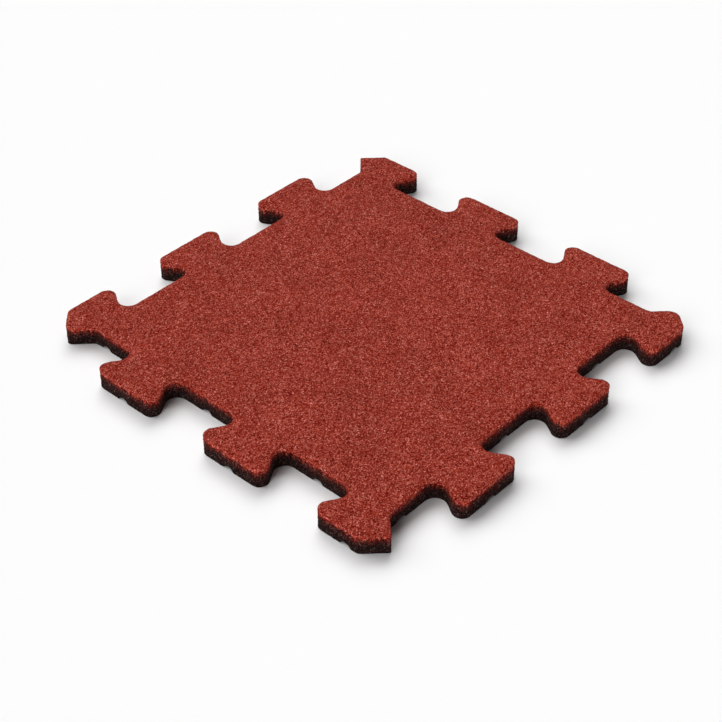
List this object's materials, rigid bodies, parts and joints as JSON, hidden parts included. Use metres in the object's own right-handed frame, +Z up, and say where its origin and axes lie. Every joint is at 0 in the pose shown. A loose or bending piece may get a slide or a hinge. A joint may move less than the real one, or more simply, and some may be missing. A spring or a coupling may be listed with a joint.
{
  "type": "interlocking rubber tile",
  "caption": "Square rubber floor tile with dovetail tabs and sockets on every side, red granulate wear layer over a black granulate base with drainage channels.",
  "frame": {"origin": "middle of the underside, on the floor", "axes": "+Z up through the tile's thickness to the wear surface; X and Y along the laying grid, parallel to the sides"},
  "size_m": [0.548, 0.548, 0.025],
  "materials": {
    "black_granulate": "matte, pressed rubber granules with open pores",
    "red_granulate": "matte, pressed rubber granules with open pores and paler specks"
  },
  "bodies": {
    "root": {"base_layer": "black_granulate", "wear_layer": "red_granulate"}
  },
  "joints": []
}
